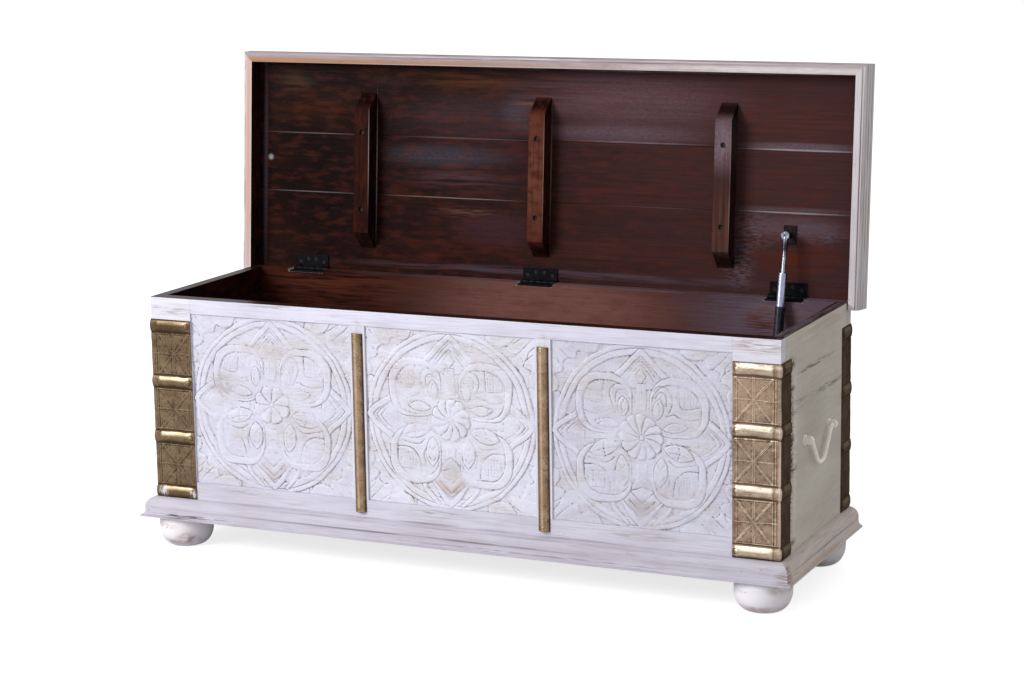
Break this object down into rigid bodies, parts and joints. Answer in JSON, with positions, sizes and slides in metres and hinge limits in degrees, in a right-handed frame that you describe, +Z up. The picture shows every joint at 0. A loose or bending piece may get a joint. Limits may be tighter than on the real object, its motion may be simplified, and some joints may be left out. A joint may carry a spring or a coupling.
{
  "type": "dowry chest",
  "caption": "Long whitewashed wooden dowry chest with carved front panels, brass-bound corners, bun feet, bail handles and a hinged lid on a telescopic stay, shown open.",
  "frame": {"origin": "on the floor, under the middle of the body (halfway between its ends and between its front and back faces)", "axes": "+X along the chest, to the right as seen from the front; +Y from the front to the back, so the carved front faces -Y; +Z up"},
  "size_m": [1.2, 0.4518, 0.8419],
  "materials": {
    "whitewashed_wood": "worn white limewash over brown hardwood",
    "stained_wood": "glossy dark red-brown stain, pale rub on the rim",
    "aged_brass": "embossed, tarnished sheet",
    "brass_nail": "domed, worn",
    "cream_painted_iron": "old cream paint",
    "black_iron": "black, worn at the edges",
    "screw_steel": "dulled",
    "dowel_wood": "bare",
    "stay_steel": "polished",
    "bright_steel": "polished"
  },
  "bodies": {
    "carcass": {"back_board": "stained_wood", "bottom_board": "stained_wood", "brass_nails": "brass_nail", "brass_strip_left": "aged_brass", "brass_strip_right": "aged_brass", "carcass_screws": "screw_steel", "carved_panel_centre": "whitewashed_wood", "carved_panel_left": "whitewashed_wood", "carved_panel_right": "whitewashed_wood", "corner_brass_back_left": "aged_brass", "corner_brass_back_right": "aged_brass", "corner_brass_front_left": "aged_brass", "corner_brass_front_right": "aged_brass", "foot_back_left": "whitewashed_wood", "foot_back_right": "whitewashed_wood", "foot_dowels": "dowel_wood", "foot_front_left": "whitewashed_wood", "foot_front_right": "whitewashed_wood", "front_bottom_rail": "whitewashed_wood", "front_muntin_left": "whitewashed_wood", "front_muntin_right": "whitewashed_wood", "front_stile_left": "whitewashed_wood", "front_stile_right": "whitewashed_wood", "front_top_rail": "whitewashed_wood", "handle_eyes_left": "cream_painted_iron", "handle_eyes_right": "cream_painted_iron", "hinge_lower_leaf_left": "black_iron", "hinge_lower_leaf_middle": "black_iron", "hinge_lower_leaf_right": "black_iron", "hinge_pins": "black_iron", "plinth_back": "whitewashed_wood", "plinth_front": "whitewashed_wood", "plinth_left": "whitewashed_wood", "plinth_right": "whitewashed_wood", "side_board_left": "whitewashed_wood", "side_board_right": "whitewashed_wood", "stay_lower_bracket": "stay_steel", "stay_lower_pin": "stay_steel"},
    "lid": {"hinge_upper_leaf_left": "black_iron", "hinge_upper_leaf_middle": "black_iron", "hinge_upper_leaf_right": "black_iron", "lid_batten_centre": "stained_wood", "lid_batten_left": "stained_wood", "lid_batten_right": "stained_wood", "lid_plank_back": "stained_wood", "lid_plank_front": "stained_wood", "lid_plank_middle": "stained_wood", "lid_rim_front": "stained_wood", "lid_rim_left": "stained_wood", "lid_rim_right": "stained_wood", "lid_screws": "screw_steel", "stay_upper_stud": "stay_steel"},
    "stay_tube": {"stay_tube": "stay_steel"},
    "stay_sleeve": {"stay_sleeve": "stay_steel"},
    "stay_rod": {"stay_rod": "bright_steel"},
    "bail_left": {"bail_left": "cream_painted_iron"},
    "bail_right": {"bail_right": "cream_painted_iron"}
  },
  "joints": [
    {"name": "lid_hinge", "type": "hinge", "parent": "carcass", "child": "lid", "pos_m": [0, 0.19, 0.4434], "axis": [1, 0, 0], "range_deg": [0, 94.5]},
    {"name": "stay_swing", "type": "hinge", "parent": "carcass", "child": "stay_tube", "pos_m": [0.462, 0.135, 0.37], "axis": [1, 0, 0], "range_deg": [0, 57.93]},
    {"name": "sleeve_slide", "type": "slide", "parent": "stay_tube", "child": "stay_sleeve", "axis": [0, -0.2275, -0.9738], "range_m": [0, 0.05679]},
    {"name": "rod_slide", "type": "slide", "parent": "stay_sleeve", "child": "stay_rod", "axis": [0, -0.2275, -0.9738], "range_m": [0, 0.056]},
    {"name": "bail_left_swing", "type": "hinge", "parent": "carcass", "child": "bail_left", "pos_m": [-0.5835, 0, 0.26], "axis": [0, 1, 0], "range_deg": [-5, 100]},
    {"name": "bail_right_swing", "type": "hinge", "parent": "carcass", "child": "bail_right", "pos_m": [0.5835, 0, 0.26], "axis": [0, -1, 0], "range_deg": [-5, 100]}
  ],
  "couplings": [
    {"joint": "stay_swing", "follows": "lid_hinge", "ratio": 0.61304},
    {"joint": "sleeve_slide", "follows": "lid_hinge", "m_per_rad": 0.034431},
    {"joint": "rod_slide", "follows": "lid_hinge", "m_per_rad": 0.033953}
  ]
}
